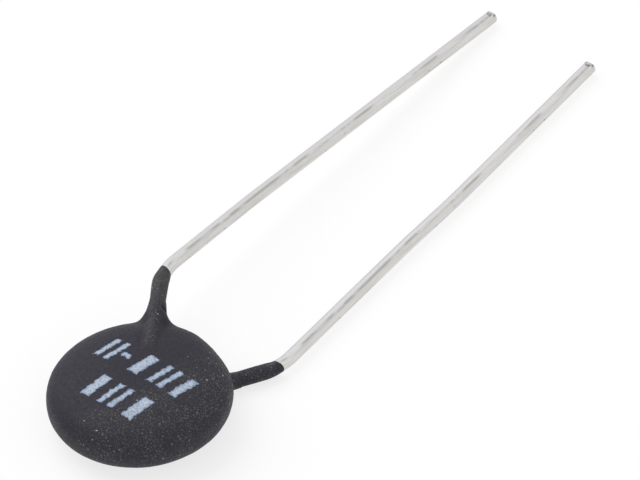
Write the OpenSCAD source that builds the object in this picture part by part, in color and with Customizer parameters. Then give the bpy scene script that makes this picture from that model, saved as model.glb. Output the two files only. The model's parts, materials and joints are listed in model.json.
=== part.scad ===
// Leaded disc thermistor: a ceramic disc between two tinned wires, dipped in a black silicone coat.
// It lies on a table. All lengths are in millimetres and all angles in degrees.

/* [Dip coat] */
// Coat between the ceramic's edge and the rim
rim_coat = 0.75; // [0.6:0.05:1.2]
// Coat over the wires at the middle of the disc
face_coat = 0.17; // [0.1:0.01:0.6]
// How square the section of the pillow is: 2 is an ellipse
coat_squareness = 2.6; // [2.2:0.1:4]
// How much the coat has sagged: it is this much longer one way and shorter across
coat_sag = 0.16; // [0:0.02:0.3]
// Direction of the sag, turned from +X
sag_angle = 65; // [0:5:180]
// Coat on the front wire where its leg is fattest
front_leg_coat = 0.14; // [0.08:0.01:0.25]
// Coat on the rear wire where its leg is fattest
rear_leg_coat = 0.1; // [0.08:0.01:0.25]
// Coat on the wires in the neck, just off the disc
neck_coat = 0.09; // [0.06:0.01:0.2]
// Coat on the wires where the legs end
end_coat = 0.05; // [0.03:0.01:0.1]
// Coat over the wires' inner ends, where the ridges fade into the pillow
ridge_coat = 0.07; // [0.03:0.01:0.12]
// Reach of the meniscus between the rim and the front leg
front_neck = 1.3; // [0.6:0.1:1.6]
// Reach of the meniscus between the rim and the rear leg
rear_neck = 0.8; // [0.6:0.1:1.6]
// Reach of the meniscus between a ridge and the flat of the disc
face_blend = 0.3; // [0.2:0.05:0.6]
// Length of each coated leg, from the rim
leg_length = 2.9; // [2.4:0.1:4]
// Rounding of the coat's edge on the wire
coat_edge = 0.2; // [0.05:0.01:0.3]

/* [Ceramic and electrodes] */
// Diameter of the ceramic disc
ceramic_d = 9; // [7:0.1:9.2]
// Thickness of the ceramic disc
ceramic_t = 1.9; // [1:0.1:1.9]
// Bare margin between the electrode and the ceramic's edge
electrode_margin = 0.4; // [0.2:0.1:0.8]
// Thickness of the fired silver
electrode_t = 0.03; // [0.02:0.01:0.06]
// Bare margin between the solder mound and the electrode's edge
solder_margin = 0.3; // [0.1:0.1:1]
// Height of the solder mound at its middle
solder_h = 0.6; // [0.4:0.05:0.7]
// Film of solder under the wire
solder_film = 0.05; // [0.03:0.01:0.08]

/* [Leads] */
// Diameter of the lead wire
wire_d = 0.8; // [0.6:0.05:0.8]
// Distance between the lead tips
tip_pitch = 7.26; // [6:0.1:9]
// Reach of the tips from the middle of the disc
lead_reach = 39.2; // [32:0.1:50]
// Angle between each soldered end and the way the leads point
lead_splay = 31; // [26:1:35]
// Distance from the rim to the corner of each lead's bend
bend_out = 2.75; // [2.5:0.05:4]
// Where the soldered ends would cross, ahead of the middle of the disc
lead_cross = 0.6; // [0:0.1:1.2]
// How far each wire runs on past that crossing
lead_overrun = 0.9; // [0.2:0.1:1.5]
// Centre-line radius of each lead's bend
bend_r = 4; // [2:0.25:5]
// Centre-line radius of the slight kinks in the free wires
kink_r = 60; // [30:5:100]
// How far the front wire bows outwards at its kink
front_bow = 0.14; // [0.04:0.02:0.3]
// Place of the front wire's kink, as a share of its free length
front_kink = 0.26; // [0.2:0.02:0.6]
// How far the rear wire bows outwards at its second kink
rear_bow = 0.12; // [0.04:0.02:0.3]
// Place of the rear wire's first kink, as a share of its free length
rear_kink = 0.4; // [0.3:0.02:0.45]
// Place of the rear wire's second kink
rear_kink_end = 0.54; // [0.5:0.02:0.7]
// Slope of the cutter's bevels at the wire ends
tip_bevel = 28; // [0:2:40]

/* [Hidden] */
$fn = 96;
wire_r = wire_d / 2;
coat_r = ceramic_d / 2 + rim_coat;
half_t = ceramic_t / 2 + electrode_t + solder_film + wire_d + face_coat;
bend_swell = 0.002;
bend_lap = 0.02;
front = -1;
rear = 1;
electrode_r = ceramic_d / 2 - electrode_margin;
solder_r = electrode_r - solder_margin;
lead_lift = ceramic_t / 2 + electrode_t + solder_film + wire_r;
tip_drop = wire_r - half_t;

// Plain helpers
function unit(v) = v / norm(v);
function mix(a, b, w) = a * (1 - w) + b * w;
function limit(x, low, high) = min(max(x, low), high);
function ease(x, low, high) = let(w = limit((x - low) / (high - low), 0, 1)) w * w * (3 - 2 * w);

// Outline of the coated disc, and the middle of the part's footprint
function outline_r(angle) = coat_r + coat_sag * cos(2 * (angle - sag_angle));
coat_back = max([for (angle = [180:2:360]) -outline_r(angle) * sin(angle)]);
centre_y = (lead_reach - coat_back) / 2;

// Wire routes, as corners in the disc's own frame, with its middle plane at zero height
root_way = [sin(lead_splay), cos(lead_splay), 0];
function along_root(side) = [side * root_way.x, root_way.y, 0];
function root_point(side, s) = [0, lead_cross, -side * lead_lift] + s * along_root(side);
root_r = outline_r(90 - lead_splay);
corner_s = root_r + bend_out;
function lead_tip(side) = [side * tip_pitch / 2, lead_reach, tip_drop];
function free_point(side, share, bow) = mix(root_point(side, corner_s), lead_tip(side), share) + [side * bow, 0, 0];
function lead_corners(side) = concat(
    [root_point(side, -lead_overrun), root_point(side, corner_s)],
    side == front ? [free_point(side, front_kink, front_bow)]
        : [free_point(side, rear_kink, 0), free_point(side, rear_kink_end, rear_bow)],
    [lead_tip(side)]
);

// One bent wire: straight rods between the corners, and true arcs round them
function way(p, i) = unit(p[i + 1] - p[i]);
function turn(p, i) = acos(limit(way(p, i - 1) * way(p, i), -1, 1));
function corner_r(i) = i == 1 ? bend_r : kink_r;
function is_corner(p, i) = i > 0 && i < len(p) - 1;
function setback(p, i) = is_corner(p, i) ? corner_r(i) * tan(turn(p, i) / 2) : 0;
function bend_start(p, i) = p[i] - setback(p, i) * way(p, i - 1);
function bend_centre(p, i) = p[i]
    + corner_r(i) / cos(turn(p, i) / 2) * unit(way(p, i) - way(p, i - 1));

module rod(a, b, d) {
    along = b - a;
    translate(a)
        rotate([0, acos(along.z / norm(along)), atan2(along.y, along.x)])
            cylinder(h = norm(along), d = d);
}

module bend(p, i) {
    c = bend_centre(p, i);
    x = unit(bend_start(p, i) - c);
    y = way(p, i - 1);
    z = cross(x, y);
    lap = bend_lap / corner_r(i) * 180 / PI;
    multmatrix([[x.x, y.x, z.x, c.x], [x.y, y.y, z.y, c.y], [x.z, y.z, z.z, c.z]])
        rotate([0, 0, -lap])
            rotate_extrude(angle = turn(p, i) + 2 * lap)
                translate([corner_r(i), 0])
                    circle(r = wire_r + bend_swell);
}

module bent_wire(p) {
    for (i = [0:len(p) - 2])
        rod(p[i] + setback(p, i) * way(p, i), p[i + 1] - setback(p, i + 1) * way(p, i), wire_d);
    for (i = [1:len(p) - 2])
        bend(p, i);
}

// The cutter leaves two bevels that meet in a blunt ridge across the wire's end
module cut_end(tip, along) {
    translate(tip)
        rotate([0, acos(along.z), atan2(along.y, along.x)])
            for (slope = [-tip_bevel, tip_bevel])
                rotate([0, slope, 0])
                    translate([-wire_d * 2, -wire_d * 2, 0])
                        cube(wire_d * 4);
}

module wire(side) {
    p = lead_corners(side);
    last = len(p) - 1;
    difference() {
        bent_wire(p);
        cut_end(p[last], way(p, last - 1));
    }
}

// Dip coat: the skin is where this distance is zero, a pillow and two coated wires drawn together
least_size = 0.05;
function pillow(p) = let(
        a = norm([p.x, p.y]) / outline_r(atan2(p.y, p.x)),
        b = abs(p.z) / half_t,
        n = coat_squareness,
        size = max(pow(pow(a, n) + pow(b, n), 1 / n), least_size),
        steepness = norm([pow(a, n - 1) / coat_r, pow(b, n - 1) / half_t]) / pow(size, n - 1)
    ) (size - 1) / max(steepness, 1 / coat_r);

// A coated wire thickens through the neck to the fattest place of its leg, then thins to the leg's end
neck_inset = 1;
neck_length = 0.4;
thick_share = 0.5;
neck_s = coat_r - neck_inset;
thick_from = root_r + neck_length;
thick_s = root_r + thick_share * leg_length;
leg_end = root_r + leg_length;
function leg_coat(side) = side == front ? front_leg_coat : rear_leg_coat;
function leg_r(side, s) = wire_r
    + mix(ridge_coat, neck_coat, ease(s, lead_overrun, neck_s))
    + (leg_coat(side) - neck_coat) * ease(s, thick_from, thick_s)
    + (end_coat - leg_coat(side)) * ease(s, thick_s, leg_end);

function leg(side, p) = let(
        q = p - root_point(side, 0),
        s = limit(q * along_root(side), 0, corner_s)
    ) norm(q - s * along_root(side)) - leg_r(side, s);

function drawn(a, b, reach) = let(h = max(reach - abs(a - b), 0)) min(a, b) - h * h / (4 * reach);

// The meniscus is slight at the middle of the disc, wider along the ridges and widest at the rim
middle_share = 0.1;
ridge_start = 3;
rim_width = 1.3;
function blend_reach(p) = let(
        r = norm([p.x, p.y]),
        face = mix(middle_share, 1, ease(r, 0, ridge_start)) * face_blend,
        neck = p.x < 0 ? front_neck : rear_neck
    ) mix(face, neck, ease(r, coat_r - rim_width, coat_r));

function skin(p) = drawn(pillow(p), min(leg(front, p), leg(rear, p)), blend_reach(p));

// Distance from a point inside the coat to the skin, along one ray, by halving
halvings = 18;
function ray(from, to_way, low, high, k = halvings) = let(r = (low + high) / 2)
    k == 0 ? r
    : skin(from + r * to_way) < 0 ? ray(from, to_way, r, high, k - 1)
    : ray(from, to_way, low, r, k - 1);

// Place and heading on a coated wire, a distance s along it from the middle of the disc
function arc_end(side) = let(p = lead_corners(side)) corner_s - setback(p, 1) + bend_r * turn(p, 1) * PI / 180;
function route(side, s) = let(
        p = lead_corners(side),
        start = corner_s - setback(p, 1),
        c = bend_centre(p, 1),
        x = unit(bend_start(p, 1) - c),
        y = way(p, 0),
        angle = min(s - start, bend_r * turn(p, 1) * PI / 180) / bend_r * 180 / PI,
        past = max(s - arc_end(side), 0),
        heading = cos(angle) * y - sin(angle) * x
    ) s <= start ? [root_point(side, s), along_root(side)]
    : [c + bend_r * (cos(angle) * x + sin(angle) * y) + past * heading, heading];

// One ring of skin points, on rays in the plane of two directions
ring_points = 56;
ring_angles = [for (i = [0:ring_points - 1]) 360 * i / ring_points];
function spoke(across, upward, wide, tall, angle) =
    unit(wide * cos(angle) * across + tall * sin(angle) * upward);

// Rings through the disc turn like a fan round a pivot between the legs, from one root to the other.
// Their points gather towards the crest over the wire, where the skin curves most.
pivot_y = root_r / cos(lead_splay);
fan_end = 90 - lead_splay;
fan_steps = 28;
centre_turn = 0.8;
centre_rise = 0.92;
gather = 34;
gather_from = 0.15;
gather_full = 0.4;
gather_end = 0.97;
far_ray = 2.5 * coat_r;
function fan_angle(i) = fan_end * mix(i / fan_steps, sin(90 * i / fan_steps), 0.5);
function gathering(angle) = gather * ease(abs(angle), gather_from * fan_end, gather_full * fan_end)
    * (1 - ease(abs(angle), gather_end * fan_end, fan_end));
function gathered(angle, amount, crest) = let(off = (angle - crest + 540) % 360 - 180)
    abs(off) < 90 ? angle - amount * sin(2 * off) / 2 : angle;
function fan_ring(angle) = let(
        out = [sin(angle), -cos(angle), 0],
        side = angle < 0 ? front : rear,
        near_leg = ease(abs(angle), centre_turn * fan_end, fan_end),
        leg_height = ease(abs(angle), centre_rise * fan_end, fan_end),
        half_chord = sqrt(max(root_r * root_r - pow(pivot_y * sin(angle), 2), 0)),
        disc_mid = [0, pivot_y, 0] + pivot_y * cos(angle) * out,
        u = along_root(side),
        q = [0, pivot_y, 0] - root_point(side, 0),
        s = (q.x * out.y - q.y * out.x) / (u.x * out.y - u.y * out.x),
        on_leg = root_point(side, limit(s, 0, corner_s)),
        from = [mix(disc_mid.x, on_leg.x, near_leg), mix(disc_mid.y, on_leg.y, near_leg), on_leg.z * leg_height],
        wide = max(half_chord, wire_r),
        tall = mix(half_t, wire_r, near_leg),
        crest = atan2((on_leg.z - from.z) / tall, (on_leg - from) * out / wide)
    ) [for (a = ring_angles) let(
        w = spoke(out, [0, 0, 1], wide, tall, gathered(a, gathering(angle), crest))
    ) from + ray(from, w, 0, far_ray) * w];

// Rings along a coated wire from the root outwards: drawn skin at first, then plain round coat
plain_s = corner_s - setback(lead_corners(front), 1);
drawn_steps = 7;
plain_steps = 7;
edge_steps = 3;
edge_sweep = 75;
function leg_rings(side) = concat(
    [for (i = [1:drawn_steps]) leg_ring(side, mix(root_r, plain_s, i / drawn_steps), true, 0)],
    [for (i = [1:plain_steps]) leg_ring(side, mix(plain_s, leg_end - coat_edge, i / plain_steps), false, 0)],
    [for (i = [1:edge_steps]) let(a = edge_sweep * i / edge_steps)
        leg_ring(side, leg_end - coat_edge * (1 - sin(a)), false, 1 - cos(a))]
);
function leg_ring(side, s, with_disc, thinned) = let(
        here = route(side, s),
        across = side * unit(cross(here[1], [0, 0, 1])),
        upward = unit([0, 0, 1] - here[1].z * here[1]),
        plain_r = mix(leg_r(side, s), wire_r, thinned)
    ) [for (a = ring_angles) let(w = spoke(across, upward, 1, 1, a))
        here[0] + (with_disc ? ray(here[0], w, 0, coat_r) : plain_r) * w];

function reversed(list) = [for (i = [len(list) - 1:-1:0]) list[i]];
function flat(lists) = [for (list = lists) for (item = list) item];

module skin_solid() {
    rings = concat(
        reversed(leg_rings(front)),
        [for (i = [-fan_steps:fan_steps]) fan_ring(fan_angle(i))],
        leg_rings(rear)
    );
    n = ring_points;
    last = len(rings) - 1;
    sides = [for (k = [0:last - 1]) for (i = [0:n - 1]) let(j = (i + 1) % n)
        each [[k * n + i, (k + 1) * n + j, k * n + j], [k * n + i, (k + 1) * n + i, (k + 1) * n + j]]];
    first_cap = [for (i = [0:n - 1]) i];
    last_cap = [for (i = [n - 1:-1:0]) last * n + i];
    polyhedron(points = flat(rings), faces = concat(sides, [first_cap, last_cap]), convexity = 6);
}

// Puts the disc's own frame on the table, with the origin under the middle of the part
module on_table() {
    translate([0, -centre_y, half_t]) children();
}

module ceramic_blank() {
    translate([0, 0, -ceramic_t / 2]) cylinder(h = ceramic_t, d = ceramic_d);
}

module electrode_blank(side) {
    rise = side == front ? ceramic_t / 2 : -ceramic_t / 2 - electrode_t;
    translate([0, 0, rise]) cylinder(h = electrode_t, r = electrode_r);
}

// A solder mound is the cap of a large sphere that stands on the electrode
module solder_blank(side) {
    sphere_r = (solder_r * solder_r + solder_h * solder_h) / (2 * solder_h);
    mirror([0, 0, side == front ? 0 : 1])
        translate([0, 0, ceramic_t / 2 + electrode_t])
            intersection() {
                translate([0, 0, solder_h - sphere_r]) sphere(r = sphere_r, $fn = 240);
                cylinder(h = 2 * solder_h, r = electrode_r);
            }
}

module dip_coat() {
    color([0.2, 0.2, 0.21]) on_table() difference() {
        skin_solid();
        ceramic_blank();
        electrode_blank(front);
        electrode_blank(rear);
        solder_blank(front);
        solder_blank(rear);
        wire(front);
        wire(rear);
    }
}

module ceramic_disc() {
    color([0.3, 0.29, 0.28]) on_table() ceramic_blank();
}

module electrode(side) {
    color([0.8, 0.8, 0.78]) on_table() electrode_blank(side);
}

module solder(side) {
    color([0.66, 0.67, 0.68]) on_table() difference() {
        solder_blank(side);
        wire(side);
    }
}

module lead(side) {
    color([0.82, 0.82, 0.81]) on_table() wire(side);
}

dip_coat();
ceramic_disc();
electrode(front);  // front_electrode
electrode(rear);  // rear_electrode
solder(front);  // front_solder
solder(rear);  // rear_solder
lead(front);  // front_lead
lead(rear);  // rear_lead
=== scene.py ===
# Looks of a leaded disc thermistor: a black dip-coated disc on two tinned wires, lying on a table.
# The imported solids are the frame. Blender works in metres, and sizes here are millimetres times MM.
import bisect
import json
import math

import bpy
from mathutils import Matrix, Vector

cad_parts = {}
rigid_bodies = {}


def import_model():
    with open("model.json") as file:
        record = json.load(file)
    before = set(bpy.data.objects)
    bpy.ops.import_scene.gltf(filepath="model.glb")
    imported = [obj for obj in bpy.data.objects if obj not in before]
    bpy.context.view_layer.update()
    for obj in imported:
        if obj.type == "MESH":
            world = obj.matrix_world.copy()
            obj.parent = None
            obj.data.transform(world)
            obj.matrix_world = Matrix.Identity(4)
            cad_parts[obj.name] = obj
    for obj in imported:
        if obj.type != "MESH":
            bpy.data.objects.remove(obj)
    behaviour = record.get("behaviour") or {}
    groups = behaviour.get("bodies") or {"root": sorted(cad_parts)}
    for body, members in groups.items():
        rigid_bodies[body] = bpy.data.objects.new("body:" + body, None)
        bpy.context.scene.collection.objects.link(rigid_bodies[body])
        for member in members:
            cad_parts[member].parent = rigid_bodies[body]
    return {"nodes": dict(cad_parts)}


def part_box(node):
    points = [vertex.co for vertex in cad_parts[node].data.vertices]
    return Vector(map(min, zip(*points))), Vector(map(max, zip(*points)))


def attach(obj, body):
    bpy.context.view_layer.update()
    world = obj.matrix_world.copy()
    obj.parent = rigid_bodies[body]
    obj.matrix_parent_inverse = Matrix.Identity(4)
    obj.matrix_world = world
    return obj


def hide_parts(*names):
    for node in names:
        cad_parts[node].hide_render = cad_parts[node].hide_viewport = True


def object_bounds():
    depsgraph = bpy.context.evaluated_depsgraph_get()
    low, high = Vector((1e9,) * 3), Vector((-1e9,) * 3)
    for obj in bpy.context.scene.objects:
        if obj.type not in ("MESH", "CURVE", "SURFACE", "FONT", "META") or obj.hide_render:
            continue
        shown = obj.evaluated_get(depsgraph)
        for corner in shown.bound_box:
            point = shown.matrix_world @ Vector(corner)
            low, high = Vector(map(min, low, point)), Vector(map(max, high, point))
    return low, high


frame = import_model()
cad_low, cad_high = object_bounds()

MM = 0.001

# The front lead leaves the disc towards -x, over its upper face, and the rear lead towards +x, under it
FRONT = -1
REAR = 1

# The coated disc: a slightly oval outline, longest at sag_angle
coat_r = 5.25 * MM
coat_sag = 0.16 * MM
sag_angle = math.radians(65)
coat_back = 5.358 * MM  # from the coat's lowest y to the disc's middle
coat_low, coat_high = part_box("dip_coat")
disc_y = coat_low.y + coat_back
disc_z = (coat_low.z + coat_high.z) / 2

# The leads: each passes near the disc's middle, splays outwards and bends once beyond the coat
wire_r = 0.4 * MM
lead_splay = math.radians(31)  # from the y axis
lead_cross = 0.6 * MM  # from the disc's middle to where the leads cross
lead_overrun = 0.9 * MM  # from the crossing back to a lead's inner end
lead_lift = 1.43 * MM  # from the disc's middle up or down to a lead
bend_out = 2.75 * MM  # from the coat's outline to the corner of the bend
bend_r = 4 * MM
tip_x = 3.63 * MM  # from the middle line to each tip

# Slight kinks beyond the bend: a share of the way to the tip, and how far the wire stands outwards there
lead_kinks = {FRONT: [(0.26, 0.14 * MM)], REAR: [(0.4, 0), (0.54, 0.12 * MM)]}
kink_r = 60 * MM

# The cut tips: a long lower bevel and a short upper one, which meet in a ridge across the wire
tip_back = 0.15 * MM
tip_ridge_up = 0.2 * MM
lower_bevel = math.radians(-22)
upper_bevel = math.radians(60)

# Facets of the wires: steps of each arc, sides round the wire, and two rounds of cuts along it
arc_steps = 16
wire_sides = 36
wire_cuts = (12, 14)
same_height = 0.01 * MM  # an edge round the wire rises less than this
smooth_under = math.radians(30)

# The coat's skin: how it is merged and parted from its inner walls, and the size and depth of its waves
merge_gap = 0.002 * MM
sharp_edge = math.radians(50)
quad_bend = math.radians(40)
quad_skew = math.radians(60)
smooth_levels = 2
dip_waves = (("slow_waves", 1.9 * MM, 0.035 * MM), ("small_waves", 0.5 * MM, 0.012 * MM))

# The rim's flatter stretch beside the rear leg
rim_trim = 0.17 * MM
rim_trim_angle = math.radians(68)
rim_trim_width = math.radians(30)
rim_trim_from = 0.7 * coat_r
rim_trim_fade = (coat_r + 0.3 * MM, coat_r + 1.3 * MM)

# The coat's legs, which run up the wires
leg_length = 2.9 * MM
leg_from = 5.2 * MM
flank_trim = 0.12 * MM
flank_trim_run = 0.8 * MM
rear_flank_fall = 1.1
least_coat = 0.05 * MM
end_taper = 0.9 * MM
end_thinning = 0.75
edge_slant = 0.3 * MM

# The ridge over the front wire and the groove on each side of it, from upper_face on in plain millimetres
ridge_rise = 0.05 * MM
groove_depth = 0.07 * MM
upper_face = 3.0
ridge_begins = (1.0, 2.8)
ridge_ends = (5.0, 6.2)
crest_falls = (0.1, 0.36)
groove_falls = (0.24, 0.46)
groove_rises = (0.5, 0.85)

# The camera's direction, distance, shift sideways and lens
camera_azimuth = math.radians(37.02)
camera_elevation = math.radians(44.51)
camera_distance = 439.8 * MM
camera_right = 0.062 * MM
camera_up = 0.766 * MM
camera_lens = 423.78

# The studio
white = (1, 1, 1, 1)
floor_tone = (0.8, 0.8, 0.8, 1)
floor_size = 4000 * MM
floor_drop = 0.01 * MM
floor_glow = 1.18
floor_glow_share = 0.62
world_light = 0.55
world_extra_seen = 0.45


# Small helpers for objects

def deselect_all():
    if bpy.context.object and bpy.context.object.mode != "OBJECT":
        bpy.ops.object.mode_set(mode="OBJECT")
    bpy.ops.object.select_all(action="DESELECT")


def work_on(piece):
    deselect_all()
    piece.select_set(True)
    bpy.context.view_layer.objects.active = piece


def apply_modifiers(piece):
    work_on(piece)
    for modifier in list(piece.modifiers):
        bpy.ops.object.modifier_apply(modifier=modifier.name)


def dress(piece, material):
    piece.data.materials.clear()
    piece.data.materials.append(material)
    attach(piece, "root")


# Small helpers for materials

def start_material(name):
    material = bpy.data.materials.new(name)
    material.use_nodes = True
    return material, material.node_tree, material.node_tree.nodes["Principled BSDF"]


def new_node(tree, kind, **settings):
    made = tree.nodes.new(kind)
    for name, value in settings.items():
        setattr(made, name, value)
    return made


def feed(tree, socket, value):
    if isinstance(value, bpy.types.NodeSocket):
        tree.links.new(value, socket)
    else:
        socket.default_value = value


def calculate(tree, operation, first, second=0.0, third=0.0):
    made = new_node(tree, "ShaderNodeMath", operation=operation)
    for socket, value in zip(made.inputs, (first, second, third)):
        feed(tree, socket, value)
    return made.outputs[0]


def combine(tree, operation, values):
    """Takes the values one after another into one result, such as the least of them."""
    result = values[0]
    for value in values[1:]:
        result = calculate(tree, operation, result, value)
    return result


def product(tree, *values):
    return combine(tree, "MULTIPLY", values)


def largest(tree, *values):
    return combine(tree, "MAXIMUM", values)


def total(tree, first, second):
    return calculate(tree, "ADD", first, second)


def difference(tree, first, second):
    return calculate(tree, "SUBTRACT", first, second)


def scale_and_add(tree, value, factor, extra):
    return calculate(tree, "MULTIPLY_ADD", value, factor, extra)


def vector(tree, operation, first, second=(0, 0, 0)):
    made = new_node(tree, "ShaderNodeVectorMath", operation=operation)
    feed(tree, made.inputs[0], first)
    feed(tree, made.inputs[1], second)
    return made.outputs[0]


def split(tree, place):
    """The three distances of a place."""
    made = new_node(tree, "ShaderNodeSeparateXYZ")
    feed(tree, made.inputs[0], place)
    return made.outputs


def noise(tree, place, scale, detail=2.0, roughness=0.5):
    made = new_node(tree, "ShaderNodeTexNoise")
    feed(tree, made.inputs["Vector"], place)
    made.inputs["Scale"].default_value = scale
    made.inputs["Detail"].default_value = detail
    made.inputs["Roughness"].default_value = roughness
    return made.outputs["Fac"]


def cells(tree, place, scale):
    """Distance from the nearest cell's middle, and three random values that each cell keeps."""
    made = new_node(tree, "ShaderNodeTexVoronoi")
    feed(tree, made.inputs["Vector"], place)
    made.inputs["Scale"].default_value = scale
    kinds = new_node(tree, "ShaderNodeSeparateColor")
    feed(tree, kinds.inputs[0], made.outputs["Color"])
    return made.outputs["Distance"], kinds.outputs


def spread(tree, value, low, high, out_low=0.0, out_high=1.0):
    """Runs smoothly from out_low to out_high while the value goes from low to high."""
    made = new_node(tree, "ShaderNodeMapRange", interpolation_type="SMOOTHSTEP")
    for socket, item in zip(made.inputs, (value, low, high, out_low, out_high)):
        feed(tree, socket, item)
    return made.outputs[0]


def blend_colours(tree, factor, first, second):
    made = new_node(tree, "ShaderNodeMix", data_type="RGBA")
    feed(tree, made.inputs[0], factor)
    feed(tree, made.inputs[6], first)
    feed(tree, made.inputs[7], second)
    return made.outputs[2]


def bump(tree, height, distance, strength=1.0, normal=None):
    made = new_node(tree, "ShaderNodeBump")
    made.inputs["Strength"].default_value = strength
    made.inputs["Distance"].default_value = distance
    feed(tree, made.inputs["Height"], height)
    if normal is not None:
        feed(tree, made.inputs["Normal"], normal)
    return made.outputs[0]


def object_millimetres(tree):
    place = new_node(tree, "ShaderNodeTexCoord").outputs["Object"]
    made = new_node(tree, "ShaderNodeVectorMath", operation="SCALE")
    feed(tree, made.inputs[0], place)
    made.inputs["Scale"].default_value = 1 / MM
    return made.outputs[0]


# Softness of a dot's edge, its least strength, and the noise over which a finish goes from smooth to rough

dot_edge = 0.04
faintest_dot = 0.25
sheen_noise = (0.3, 0.75)


def dots(tree, place, shift, scale, share, least, most):
    """Round dots of different sizes and strengths, in a share of the cells."""
    far, kinds = cells(tree, vector(tree, "ADD", place, shift), scale)
    chosen = calculate(tree, "GREATER_THAN", share, kinds[0])
    size = spread(tree, kinds[1], 0.0, 1.0, least, most)
    dot = spread(tree, difference(tree, far, size), dot_edge, -dot_edge)
    strength = spread(tree, kinds[2], 0.0, 1.0, out_low=faintest_dot)
    return product(tree, dot, chosen, strength)


# Printed marks: two rows of plain slanted blocks and bars. Materials read places in plain millimetres.

mark_slant = 0.22
mark_high = 1.75
upper_row = disc_y / MM + 0.52
lower_row = disc_y / MM - 2.28
block_wide = 0.66
bar_wide = 0.34
bar_offset = 0.34
dash_wide = 0.6


def block(x, y, wide=block_wide):
    return [(x, y, wide, mark_high)]


def pair_of_bars(x, y):
    return [(x - bar_offset, y, bar_wide, mark_high), (x + bar_offset, y, bar_wide, mark_high)]


def short_dash(x, y):
    return [(x, y, dash_wide, bar_wide)]


def mark_bars():
    return (
        block(2.75, upper_row, wide=0.5) + pair_of_bars(1.45, upper_row) + block(-0.1, upper_row)
        + short_dash(-1.35, upper_row) + pair_of_bars(-2.35, upper_row)
        + block(1.65, lower_row) + pair_of_bars(0.1, lower_row) + block(-1.3, lower_row, wide=0.6)
    )


def ink_distance(tree, place):
    """Distance from the nearest bar's edge in plan, less than zero inside a bar."""
    lean = new_node(tree, "ShaderNodeCombineXYZ")
    feed(tree, lean.inputs[0], product(tree, split(tree, place)[1], mark_slant))
    upright = vector(tree, "SUBTRACT", place, lean.outputs[0])
    edges = []
    for x, y, wide, high in mark_bars():
        offset = vector(tree, "ABSOLUTE", vector(tree, "SUBTRACT", upright, (x - mark_slant * y, y, 0)))
        past = split(tree, vector(tree, "SUBTRACT", offset, (wide / 2, high / 2, 0)))
        edges.append(largest(tree, past[0], past[1]))
    return combine(tree, "MINIMUM", edges)


# The ink's tones in its middle, at its edge, which is painted darker as the shade of raised print, and where
# it is worn, and the reach of each

ink_pale = (0.56, 0.64, 0.76, 1)
ink_edge_shade = (0.27, 0.37, 0.56, 1)
ink_worn = (0.38, 0.46, 0.60, 1)
ink_raggedness = 0.34
ink_border = (0.04, -0.05)
ink_edge_shade_run = (-0.16, 0.0)
ink_height = (2.6, 3.0)
ink_thin_grain = (0.50, 0.72)
ink_thinnest = 0.35
ink_worn_grain = (0.4, 0.7)


def stamped_ink(tree, place, height, grain, fine_grain):
    """Where the ink lies, with ragged edges and thin places, and its mottled tone, with the edge painted
    darker as the shade of raised print.
    """
    ragged = difference(tree, noise(tree, place, scale=4.5, detail=3, roughness=0.6), 0.5)
    edge = total(tree, ink_distance(tree, place), product(tree, ragged, ink_raggedness))
    on_face = spread(tree, height, *ink_height)
    thin = spread(tree, fine_grain, *ink_thin_grain, 1.0, ink_thinnest)
    inked = product(tree, spread(tree, edge, *ink_border), on_face, thin)
    # The edge of each mark painted darker blue, as the shade of raised print
    tone = blend_colours(tree, spread(tree, edge, *ink_edge_shade_run), ink_pale, ink_edge_shade)
    tone = blend_colours(tree, spread(tree, grain, *ink_worn_grain), tone, ink_worn)
    return inked, tone


# The coat's finish. Each pair of where it is rough, with painted glints and on the rim a lighter painted
# sheen, runs from none to full, in plain millimetres.

rough_glinting_side = (0.7, 2.8)
rough_glinting_side_turn = -0.55
rough_glinting_rim = (3.3, 1.9)
rough_glinting_leg = (5.0, 5.8)
rough_glinting_ridge_width = (0.42, 0.15)
rough_glinting_ridge_run = (1.1, 2.1)
rough_glinting_ridge_height = (2.2, 3.0)
pale_leg_run = (disc_y / MM + 4.4, disc_y / MM + 6.4)
pale_leg_height = (1.5, 2.6)
dust_grain = (0.50, 0.66)
patch_noise = (0.3, 0.7)
quietest_patch = 0.35

# What grows with the coat's roughness: how much by it, and how much there is everywhere
rough_grain_depth = (1.6, 0.3)
dust_strength = (0.9, 0.07)
pit_share = (0.5, 0.12)
# The next two shares are for pale dots painted as tiny glints of light, small ones and bright ones
small_painted_glint_share = (0.5, 0.0)
bright_painted_glint_share = (0.05, 0.006)

coat_roughness = (0.5, 0.7)
coat_smooth = (0.0195, 0.0175, 0.028, 1)
# The lighter rough tone; on the rim it is painted sheen of grazing light
coat_rough = (0.026, 0.024, 0.0325, 1)
coat_pale_leg = (0.050, 0.0465, 0.0475, 1)
coat_dust = (0.106, 0.104, 0.110, 1)
# Painted shade in the pits
coat_pit_shade = (0.006, 0.006, 0.007, 1)
# Pale dots painted as glints of light: small grey ones and a few bright ones
coat_small_painted_glint = (0.27, 0.268, 0.272, 1)
coat_bright_painted_glint = (0.64, 0.63, 0.61, 1)


def ridge_places(tree, across, from_middle, height):
    """The strip of the upper face over the front wire, where painted glints show the ridge."""
    beyond = difference(tree, from_middle, lead_cross / MM)
    sideways = total(tree, product(tree, across, math.cos(lead_splay)),
                     product(tree, beyond, math.sin(lead_splay)))
    outwards = difference(tree, product(tree, beyond, math.cos(lead_splay)),
                          product(tree, across, math.sin(lead_splay)))
    strip = spread(tree, calculate(tree, "ABSOLUTE", sideways), *rough_glinting_ridge_width, out_high=1.1)
    along_strip = spread(tree, outwards, *rough_glinting_ridge_run)
    return product(tree, strip, along_strip, spread(tree, height, *rough_glinting_ridge_height))


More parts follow.
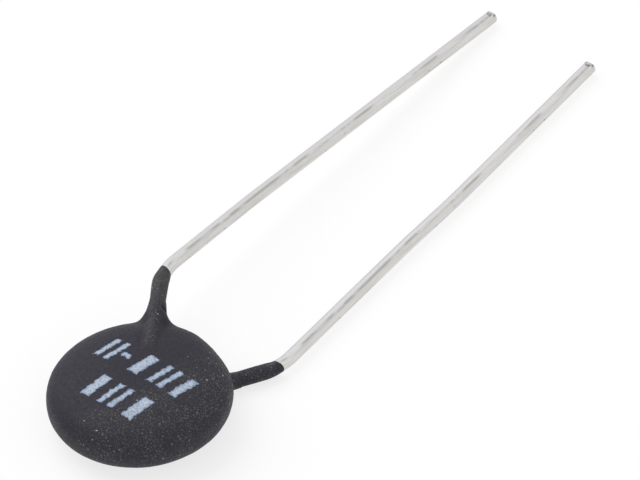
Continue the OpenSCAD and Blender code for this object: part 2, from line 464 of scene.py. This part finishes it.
def rough_glinting_places(tree, across, along, height):
    """How rough the coat is, and where it gets painted glints and, on the rim, a lighter painted sheen: most
    on the face's +x side, the rim, the legs and the ridge.
    """
    from_middle = difference(tree, along, disc_y / MM)
    towards_rim = largest(tree, product(tree, from_middle, rough_glinting_side_turn), 0.0)
    on_side = spread(tree, total(tree, across, towards_rim), *rough_glinting_side)
    # The rim gets the lighter rough tone as painted sheen of grazing light, and painted glints
    on_rim = spread(tree, height, *rough_glinting_rim, out_high=0.7)
    on_legs = spread(tree, from_middle, *rough_glinting_leg, out_high=0.9)
    on_ridge = ridge_places(tree, across, from_middle, height)
    return largest(tree, on_side, on_rim, on_legs, on_ridge)


def coat_relief(tree, place, rough, grain, fine_grain, pits):
    """Slow waves, leathery grain, a fine grain that is deeper where the coat is rough, and pits."""
    waves = noise(tree, place, scale=0.55)
    rough_grain = product(tree, fine_grain, scale_and_add(tree, rough, *rough_grain_depth))
    relief = bump(tree, waves, distance=0.06 * MM, strength=0.5)
    relief = bump(tree, grain, distance=0.016 * MM, strength=0.6, normal=relief)
    relief = bump(tree, rough_grain, distance=0.016 * MM, strength=0.7, normal=relief)
    return bump(tree, product(tree, pits, -1), distance=0.03 * MM, strength=0.6, normal=relief)


def coat_tone(tree, place, along, height, rough, fine_grain, pits):
    """Blue black where it is smooth, and a little lighter and dusted where it is rough, the lighter tone on
    the rim being painted sheen; pits painted darker as shade, and pale dots painted as glints.
    """
    tone = blend_colours(tree, rough, coat_smooth, coat_rough)
    pale_leg = product(tree, spread(tree, along, *pale_leg_run),
                       spread(tree, height, *pale_leg_height, out_high=0.8))
    tone = blend_colours(tree, pale_leg, tone, coat_pale_leg)
    dust = product(tree, spread(tree, fine_grain, *dust_grain), scale_and_add(tree, rough, *dust_strength))
    tone = blend_colours(tree, dust, tone, coat_dust)
    # The pits are painted darker, as the shade in them
    tone = blend_colours(tree, product(tree, pits, 0.6), tone, coat_pit_shade)
    # Pale dots painted as tiny glints of light, more where the coat is rough
    small_painted_glints = dots(tree, place, shift=(3.1, 7.7, 1.3), scale=6.0,
                        share=scale_and_add(tree, rough, *small_painted_glint_share), least=0.14, most=0.30)
    tone = blend_colours(tree, product(tree, small_painted_glints, 0.6), tone, coat_small_painted_glint)
    bright_painted_glints = dots(tree, place, shift=(9.2, 2.4, 5.5), scale=4.0,
                         share=scale_and_add(tree, rough, *bright_painted_glint_share), least=0.12, most=0.22)
    return blend_colours(tree, product(tree, bright_painted_glints, 0.9), tone, coat_bright_painted_glint)


def coat_material():
    material, tree, shader = start_material("black_dip_coat")
    place = object_millimetres(tree)
    across, along, height = split(tree, place)
    patches = spread(tree, noise(tree, place, scale=0.8, detail=3), *patch_noise, out_low=quietest_patch)
    rough = product(tree, rough_glinting_places(tree, across, along, height), patches)
    grain = noise(tree, place, scale=6.0, detail=3, roughness=0.65)
    fine_grain = noise(tree, place, scale=11.0, roughness=0.6)
    pits = dots(tree, place, shift=(0, 0, 0), scale=5.5,
                share=scale_and_add(tree, rough, *pit_share), least=0.12, most=0.36)
    relief = coat_relief(tree, place, rough, grain, fine_grain, pits)
    tone = coat_tone(tree, place, along, height, rough, fine_grain, pits)
    ink, ink_tone = stamped_ink(tree, place, height, grain, fine_grain)
    relief = bump(tree, ink, distance=0.012 * MM, strength=0.6, normal=relief)
    feed(tree, shader.inputs["Base Color"], blend_colours(tree, ink, tone, ink_tone))
    sheen = spread(tree, grain, *sheen_noise, *coat_roughness)
    feed(tree, shader.inputs["Roughness"], sheen)
    feed(tree, shader.inputs["Normal"], relief)
    shader.inputs["Specular IOR Level"].default_value = 0.26
    return material


# The tinned wire's finish and painted light, on its own place round and along the wire in plain millimetres

# The dark streak painted along the wire's upper side as a reflection, and the painted shade beside it
line_offset = 0.12
line_wander = 0.28
line_edge = (0.13, 0.01)
line_shade_edge = (0.28, 0.02)
line_side = (-0.1, 0.3)
line_unbroken = (0.38, 0.60)
drawn_lines = (0.35, 0.7)
# Painted light: a bluish reflection on one side, and a brighter lower side
blue_reflection_side = (0.14, -0.06)
painted_light_below = (0.05, -0.3)
stained = (0.5, 0.8)
speck_choice = (0.6, 1.0)
speck_sizes = (-0.1, 0.13)
speck_border = (0.06, -0.02)

wire_roughness = (0.52, 0.66)
wire_pale = (0.72, 0.714, 0.70, 1)
wire_drawn = (0.60, 0.593, 0.578, 1)
# A painted bluish reflection on one side, and painted light on the lower side
wire_blue_reflection = (0.525, 0.525, 0.545, 1)
wire_painted_light_below = (0.80, 0.792, 0.775, 1)
wire_stain = (0.60, 0.592, 0.535, 1)
# Painted shade beside the streak, and the dark painted reflection along the upper side
wire_dark_reflection_shade = (0.52, 0.512, 0.495, 1)
wire_dark_reflection = (0.29, 0.28, 0.26, 1)
wire_speck = (0.26, 0.25, 0.23, 1)


def stretched(tree, place, round_it, along_it):
    """The place with one scale round the wire and another along it, for patterns that run lengthwise."""
    return vector(tree, "MULTIPLY", place, (round_it, round_it, along_it))


def painted_dark_reflection(tree, place, across, above, stains):
    """A dark painted reflection along the upper side, broken here and there, and the soft painted shade on
    both sides of it.
    """
    broad_lines = noise(tree, stretched(tree, place, 2.2, 0.09), scale=1.0)
    wander = product(tree, difference(tree, broad_lines, 0.5), line_wander)
    from_line = difference(tree, total(tree, across, wander), line_offset)
    far = calculate(tree, "ABSOLUTE", from_line)
    on_top = spread(tree, above, *line_side)
    broken = product(tree, on_top, spread(tree, stains, *line_unbroken))
    line = product(tree, spread(tree, far, *line_edge), broken)
    shade = product(tree, spread(tree, far, *line_shade_edge), on_top)
    return line, shade


def wire_specks(tree, place):
    """Dark specks and nicks, in the cells whose random value is high."""
    far, kinds = cells(tree, stretched(tree, place, 1.6, 0.8), scale=1.4)
    size = spread(tree, kinds[0], *speck_choice, *speck_sizes)
    return spread(tree, difference(tree, far, size), *speck_border)


def wire_tone(tree, place, fine_lines, specks):
    """Pale tin with fine drawn lines, stains and specks, and painted light: a bluish reflection on one side,
    brighter below, and a dark reflection streak with shade beside it.
    """
    across, above, _ = split(tree, place)
    stains = noise(tree, stretched(tree, place, 1.2, 0.5), scale=1.0, detail=4, roughness=0.6)
    line, line_shade = painted_dark_reflection(tree, place, across, above, stains)
    tone = blend_colours(tree, spread(tree, fine_lines, *drawn_lines), wire_pale, wire_drawn)
    # Painted light: a bluish reflection on one side and a brighter lower side
    tone = blend_colours(tree, spread(tree, across, *blue_reflection_side, out_high=0.9), tone, wire_blue_reflection)
    tone = blend_colours(tree, spread(tree, above, *painted_light_below, out_high=0.7), tone, wire_painted_light_below)
    tone = blend_colours(tree, spread(tree, stains, *stained, out_high=0.5), tone, wire_stain)
    # Painted shade beside the streak, then the dark painted reflection streak
    tone = blend_colours(tree, product(tree, line_shade, 0.3), tone, wire_dark_reflection_shade)
    tone = blend_colours(tree, product(tree, line, 0.62), tone, wire_dark_reflection)
    return blend_colours(tree, product(tree, specks, 0.6), tone, wire_speck)


def wire_material():
    material, tree, shader = start_material("tinned_wire")
    place = new_node(tree, "ShaderNodeAttribute", attribute_name="wire_place").outputs["Vector"]
    fine_lines = noise(tree, stretched(tree, place, 7, 0.22), scale=1.6, detail=3, roughness=0.6)
    frost = noise(tree, place, scale=14, detail=3, roughness=0.6)
    specks = wire_specks(tree, place)
    relief = bump(tree, fine_lines, distance=0.005 * MM, strength=0.35)
    relief = bump(tree, frost, distance=0.002 * MM, strength=0.4, normal=relief)
    relief = bump(tree, product(tree, specks, -1), distance=0.02 * MM, strength=0.5, normal=relief)
    feed(tree, shader.inputs["Base Color"], wire_tone(tree, place, fine_lines, specks))
    sheen = spread(tree, fine_lines, *sheen_noise, *wire_roughness)
    feed(tree, shader.inputs["Roughness"], sheen)
    feed(tree, shader.inputs["Normal"], relief)
    shader.inputs["Metallic"].default_value = 1.0
    return material


# Finishes of the pieces that the coat covers: the darker and the lighter tone of each

ceramic_tones = ((0.10, 0.095, 0.09, 1), (0.16, 0.155, 0.15, 1))
silver_tones = ((0.68, 0.66, 0.62, 1), (0.85, 0.84, 0.81, 1))
solder_tones = ((0.5, 0.51, 0.52, 1), (0.68, 0.69, 0.7, 1))


def hidden_material(name, tones, metallic, roughness, grain_scale):
    """A fine grain between two tones."""
    material, tree, shader = start_material(name)
    grain = noise(tree, object_millimetres(tree), scale=grain_scale, detail=4, roughness=0.6)
    feed(tree, shader.inputs["Base Color"], blend_colours(tree, grain, *tones))
    feed(tree, shader.inputs["Normal"], bump(tree, grain, distance=0.01 * MM, strength=0.4))
    shader.inputs["Metallic"].default_value = metallic
    shader.inputs["Roughness"].default_value = roughness
    return material


def dress_hidden_pieces():
    ceramic = hidden_material("sintered_ceramic", ceramic_tones, metallic=0, roughness=0.8, grain_scale=8)
    silver = hidden_material("fired_silver", silver_tones, metallic=1, roughness=0.5, grain_scale=12)
    solder = hidden_material("dull_solder", solder_tones, metallic=1, roughness=0.4, grain_scale=3)
    finishes = {"ceramic_disc": ceramic, "front_electrode": silver, "rear_electrode": silver,
                "front_solder": solder, "rear_solder": solder}
    for node_name, material in finishes.items():
        node = frame["nodes"][node_name]
        node.data.materials.clear()
        node.data.materials.append(material)


# The routes of the leads, and places along them

def coat_outline(angle):
    return coat_r + coat_sag * math.cos(2 * (angle - sag_angle))


def lead_corners(side):
    root_way = Vector((side * math.sin(lead_splay), math.cos(lead_splay), 0))
    crossing = Vector((0, disc_y + lead_cross, disc_z - side * lead_lift))
    corner = crossing + (coat_outline(math.pi / 2 - lead_splay) + bend_out) * root_way
    tip = Vector((side * tip_x, cad_high.y, wire_r + cad_low.z))
    between = [corner.lerp(tip, share) + Vector((side * bow, 0, 0)) for share, bow in lead_kinks[side]]
    return [crossing - lead_overrun * root_way, corner, *between, tip]


def rounded_path(corners):
    """Points along straight runs between the corners, with an arc round each corner."""
    path = [corners[0]]
    for i in range(1, len(corners) - 1):
        radius = bend_r if i == 1 else kink_r
        before = (corners[i] - corners[i - 1]).normalized()
        after = (corners[i + 1] - corners[i]).normalized()
        turn = before.angle(after)
        setback = radius * math.tan(turn / 2)
        centre = corners[i] + radius / math.cos(turn / 2) * (after - before).normalized()
        outward = (corners[i] - setback * before - centre).normalized()
        for step in range(arc_steps + 1):
            angle = turn * step / arc_steps
            path.append(centre + radius * (math.cos(angle) * outward + math.sin(angle) * before))
    path.append(corners[-1])
    return path


def distances(path):
    """Distance of each point of the path from its start."""
    along = [0.0]
    for start, end in zip(path, path[1:]):
        along.append(along[-1] + (end - start).length)
    return along


def place_on(path, along, s):
    """Point and heading at a distance s along the path."""
    i = min(max(bisect.bisect_right(along, s) - 1, 0), len(path) - 2)
    heading = (path[i + 1] - path[i]).normalized()
    return path[i] + (s - along[i]) * heading, heading


def nearest_on(path, along, point):
    """Nearest point of the path, its heading there and its distance along the path."""
    best = None
    for i in range(len(path) - 1):
        run = path[i + 1] - path[i]
        share = min(max((point - path[i]).dot(run) / run.length_squared, 0.0), 1.0)
        foot = path[i] + share * run
        far = (point - foot).length
        if best is None or far < best[0]:
            best = (far, foot, run.normalized(), along[i] + share * run.length)
    return best[1:]


# The coat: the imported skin, without its inner walls, smoothed and given the waves of a dip coat

def mark_sharp_edges():
    """Merges the loose triangles, and marks the edges where the skin meets its inner walls."""
    bpy.ops.mesh.customdata_custom_splitnormals_clear()
    bpy.ops.mesh.select_mode(type="EDGE")
    bpy.ops.mesh.select_all(action="SELECT")
    bpy.ops.mesh.remove_doubles(threshold=merge_gap)
    bpy.ops.mesh.mark_sharp(clear=True)
    bpy.ops.mesh.select_all(action="DESELECT")
    bpy.ops.mesh.edges_select_sharp(sharpness=sharp_edge)
    bpy.ops.mesh.mark_sharp()
    bpy.ops.mesh.select_all(action="DESELECT")
    bpy.ops.mesh.select_mode(type="FACE")


def keep_outer_skin(skin):
    """Keeps the faces that no sharp edge parts from the highest one, and closes the holes at the wires."""
    work_on(skin)
    bpy.ops.object.mode_set(mode="EDIT")
    mark_sharp_edges()
    bpy.ops.object.mode_set(mode="OBJECT")
    highest = max(skin.data.polygons, key=lambda face: face.center.z)
    highest.select = True
    bpy.ops.object.mode_set(mode="EDIT")
    bpy.ops.mesh.select_linked(delimit={"SHARP"})
    bpy.ops.mesh.select_all(action="INVERT")
    bpy.ops.mesh.delete(type="FACE")
    bpy.ops.mesh.select_all(action="SELECT")
    bpy.ops.mesh.mark_sharp(clear=True)
    bpy.ops.mesh.tris_convert_to_quads(face_threshold=quad_bend, shape_threshold=quad_skew)
    bpy.ops.mesh.select_all(action="SELECT")
    bpy.ops.mesh.fill_holes(sides=0)
    bpy.ops.mesh.select_all(action="SELECT")
    bpy.ops.mesh.faces_shade_smooth()
    bpy.ops.object.mode_set(mode="OBJECT")


def add_dip_waves(skin):
    smooth = skin.modifiers.new("smooth", "SUBSURF")
    smooth.levels = smooth_levels
    smooth.render_levels = smooth_levels
    for name, size, depth in dip_waves:
        pattern = bpy.data.textures.new(name, "CLOUDS")
        pattern.noise_scale = size
        waves = skin.modifiers.new(name, "DISPLACE")
        waves.texture = pattern
        waves.texture_coords = "LOCAL"
        waves.strength = depth
        waves.mid_level = 0.5
    apply_modifiers(skin)


def ease(x, low, high):
    """Rises smoothly from 0 at low to 1 at high."""
    share = min(max((x - low) / (high - low), 0.0), 1.0)
    return share * share * (3 - 2 * share)


def flatten_rim(skin):
    """Takes a little off the rim beside the rear leg."""
    for point in skin.data.vertices:
        flat = Vector((point.co.x, point.co.y - disc_y, 0))
        far = flat.length
        if far < rim_trim_from:
            continue
        turned = abs(math.atan2(flat.y, flat.x) - rim_trim_angle)
        share = (1 - ease(turned, 0, rim_trim_width)) * ease(far, rim_trim_from, coat_r)
        share *= 1 - ease(far, *rim_trim_fade)
        point.co -= rim_trim * share / far * flat


def points_of_leg(skin, side):
    """The coat's points round one leg, each with its foot, heading and distance on the wire inside."""
    bend_end = arc_steps + 2  # the path's start and the points of its first arc
    path = rounded_path(lead_corners(side))[:bend_end]
    along = distances(path)
    for point in skin.data.vertices:
        if point.co.x * side >= 0 and point.co.y >= disc_y + leg_from:
            yield point, *nearest_on(path, along, point.co)


def slim_flanks(skin):
    """Each leg is leaner on one flank: the front leg towards the rear leg, the rear leg out and down."""
    rim_s = lead_overrun + coat_outline(math.pi / 2 - lead_splay)
    for side in (FRONT, REAR):
        flank = Vector((math.cos(lead_splay), -side * math.sin(lead_splay), 0))
        if side == REAR:
            flank = (flank + Vector((0, 0, -rear_flank_fall))).normalized()
        for point, foot, _, s in points_of_leg(skin, side):
            outward = point.co - foot
            radius = outward.length
            spare = radius - wire_r - least_coat
            if spare <= 0:
                continue
            facing = max(outward.dot(flank) / radius, 0)
            trim = flank_trim * facing * ease(s, rim_s, rim_s + flank_trim_run)
            point.co -= min(trim, spare) / radius * outward


def shape_leg_ends(skin):
    """Each leg thins towards its end, and its edge runs back on the side that faces the other leg."""
    end_s = lead_overrun + coat_outline(math.pi / 2 - lead_splay) + leg_length
    for side in (FRONT, REAR):
        for point, foot, heading, s in points_of_leg(skin, side):
            near_end = ease(s, end_s - end_taper, end_s)
            outward = point.co - foot
            radius = outward.length
            if near_end == 0 or radius == 0:
                continue
            inner = heading.cross(Vector((0, 0, 1))).normalized() * -side
            inner_share = 0.5 + 0.5 * outward.dot(inner) / radius
            if radius > wire_r:
                thinner = wire_r + (radius - wire_r) * (1 - end_thinning * near_end)
                outward = outward * (thinner / radius)
            point.co = foot + outward - heading * (edge_slant * near_end * inner_share)


def raise_ridge(skin):
    """The front wire shows through the upper face as a low ridge between two shallow grooves."""
    for point in skin.data.vertices:
        x, y, z = point.co / MM
        if z < upper_face:
            continue
        beyond = y - disc_y / MM - lead_cross / MM
        sideways = abs(x * math.cos(lead_splay) + beyond * math.sin(lead_splay))
        outwards = beyond * math.cos(lead_splay) - x * math.sin(lead_splay)
        strength = ease(outwards, *ridge_begins) * (1 - ease(outwards, *ridge_ends))
        crest = 1 - ease(sideways, *crest_falls)
        groove = ease(sideways, *groove_falls) * (1 - ease(sideways, *groove_rises))
        point.co.z += strength * (ridge_rise * crest - groove_depth * groove)


def build_coat():
    skin = bpy.data.objects.new("coat_skin", frame["nodes"]["dip_coat"].data.copy())
    bpy.context.scene.collection.objects.link(skin)
    keep_outer_skin(skin)
    add_dip_waves(skin)
    flatten_rim(skin)
    slim_flanks(skin)
    shape_leg_ends(skin)
    raise_ridge(skin)
    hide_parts("dip_coat")
    dress(skin, coat_material())


# The leads: each is a straight wire with its end cut off, then bent along its route

def select_lengthwise(wire):
    """Selects the edges that run along the wire, and not those round it."""
    points = wire.data.vertices
    for edge in wire.data.edges:
        start, end = (points[i].co.z for i in edge.vertices)
        edge.select = abs(end - start) > same_height


def straight_wire(name, length):
    deselect_all()
    bpy.ops.mesh.primitive_cylinder_add(
        vertices=wire_sides, radius=wire_r, depth=length, location=(0, 0, length / 2))
    wire = bpy.context.object
    wire.name = name
    bpy.ops.object.transform_apply(location=True, rotation=True, scale=True)
    for cuts in wire_cuts:
        bpy.ops.object.mode_set(mode="EDIT")
        bpy.ops.mesh.select_mode(type="EDGE")
        bpy.ops.mesh.select_all(action="DESELECT")
        bpy.ops.object.mode_set(mode="OBJECT")
        select_lengthwise(wire)
        bpy.ops.object.mode_set(mode="EDIT")
        bpy.ops.mesh.subdivide(number_cuts=cuts)
        bpy.ops.object.mode_set(mode="OBJECT")
    return wire


def cut_tip(wire, length):
    """Cuts the two bevels, which leave a ridge across the wire's end."""
    work_on(wire)
    bpy.ops.object.mode_set(mode="EDIT")
    ridge = (0, tip_ridge_up, length - tip_back)
    for slope in (lower_bevel, upper_bevel):
        bpy.ops.mesh.select_all(action="SELECT")
        facing = (0, math.sin(slope), math.cos(slope))
        bpy.ops.mesh.bisect(plane_co=ridge, plane_no=facing, use_fill=True, clear_outer=True)
    bpy.ops.object.mode_set(mode="OBJECT")


def bend_wire(wire, path, along):
    """Keeps each point's place on the straight wire as an attribute, then carries it onto the route."""
    straight = wire.data.attributes.new("wire_place", "FLOAT_VECTOR", "POINT")
    for point, kept in zip(wire.data.vertices, straight.data):
        kept.vector = point.co / MM
        middle, heading = place_on(path, along, point.co.z)
        upward = (Vector((0, 0, 1)) - heading.z * heading).normalized()
        across = heading.cross(upward)
        point.co = middle + point.co.x * across + point.co.y * upward


def build_lead(side, node_name, piece_name, material):
    path = rounded_path(lead_corners(side))
    along = distances(path)
    wire = straight_wire(piece_name, along[-1])
    cut_tip(wire, along[-1])
    bend_wire(wire, path, along)
    work_on(wire)
    bpy.ops.object.shade_smooth_by_angle(angle=smooth_under)
    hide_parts(node_name)
    dress(wire, material)


# Floor, light and camera

def seen_rays(tree):
    """One for the rays by which the camera sees a place, also in a reflection or through glass."""
    path = new_node(tree, "ShaderNodeLightPath").outputs
    return largest(tree, path["Is Camera Ray"], path["Is Glossy Ray"], path["Is Transmission Ray"])


def floor_material():
    """Pale and matt, so it keeps the object's shadow, with a glow that makes it white where it is seen."""
    material, tree, shader = start_material("pale_floor")
    tree.nodes.remove(shader)
    matt = new_node(tree, "ShaderNodeBsdfDiffuse")
    matt.inputs["Color"].default_value = floor_tone
    glow = new_node(tree, "ShaderNodeEmission")
    glow.inputs["Color"].default_value = white
    glow.inputs["Strength"].default_value = floor_glow
    mixed = new_node(tree, "ShaderNodeMixShader")
    feed(tree, mixed.inputs[0], product(tree, seen_rays(tree), floor_glow_share))
    feed(tree, mixed.inputs[1], matt.outputs[0])
    feed(tree, mixed.inputs[2], glow.outputs[0])
    out = next(node for node in tree.nodes if node.type == "OUTPUT_MATERIAL")
    feed(tree, out.inputs["Surface"], mixed.outputs[0])
    return material


def build_floor():
    deselect_all()
    bpy.ops.mesh.primitive_grid_add(
        x_subdivisions=4, y_subdivisions=4, size=floor_size, location=(0, 0, -floor_drop))
    floor = bpy.context.object
    floor.name = "floor"
    floor.data.materials.append(floor_material())


def build_world():
    world = bpy.data.worlds.new("studio")
    bpy.context.scene.world = world
    world.use_nodes = True
    tree = world.node_tree
    background = tree.nodes["Background"]
    background.inputs["Color"].default_value = white
    strength = scale_and_add(tree, seen_rays(tree), world_extra_seen, world_light)
    feed(tree, background.inputs["Strength"], strength)


def add_lamp(name, place, size, power):
    """A round soft lamp that points at the disc. Its place and size are in metres."""
    light = bpy.data.lights.new(name, "AREA")
    light.shape = "DISK"
    light.size = size
    light.energy = power
    lamp = bpy.data.objects.new(name, light)
    bpy.context.scene.collection.objects.link(lamp)
    lamp.location = place
    lamp.rotation_euler = (Vector((0, disc_y, 0)) - Vector(place)).to_track_quat("-Z", "Y").to_euler()


def build_camera():
    level = math.cos(camera_elevation)
    back = Vector((math.sin(camera_azimuth) * level, -math.cos(camera_azimuth) * level,
                   math.sin(camera_elevation)))
    right = Vector((math.cos(camera_azimuth), math.sin(camera_azimuth), 0))
    up = back.cross(right)
    data = bpy.data.cameras.new("camera")
    data.sensor_width = 36
    data.lens = camera_lens
    data.clip_start = 0.01
    data.clip_end = 20
    camera = bpy.data.objects.new("camera", data)
    bpy.context.scene.collection.objects.link(camera)
    camera.location = camera_distance * back + camera_right * right + camera_up * up
    camera.rotation_euler = (-back).to_track_quat("-Z", "Y").to_euler()
    bpy.context.scene.camera = camera


build_coat()
tinned_wire = wire_material()
build_lead(FRONT, "front_lead", "front_wire", tinned_wire)
build_lead(REAR, "rear_lead", "rear_wire", tinned_wire)
dress_hidden_pieces()
build_floor()
build_world()
add_lamp("key", place=(-0.24, 0.0, 0.30), size=0.42, power=0.75)
add_lamp("fill", place=(0.30, -0.22, 0.22), size=0.4, power=0.16)
build_camera()
bpy.context.scene.view_settings.view_transform = "Standard"
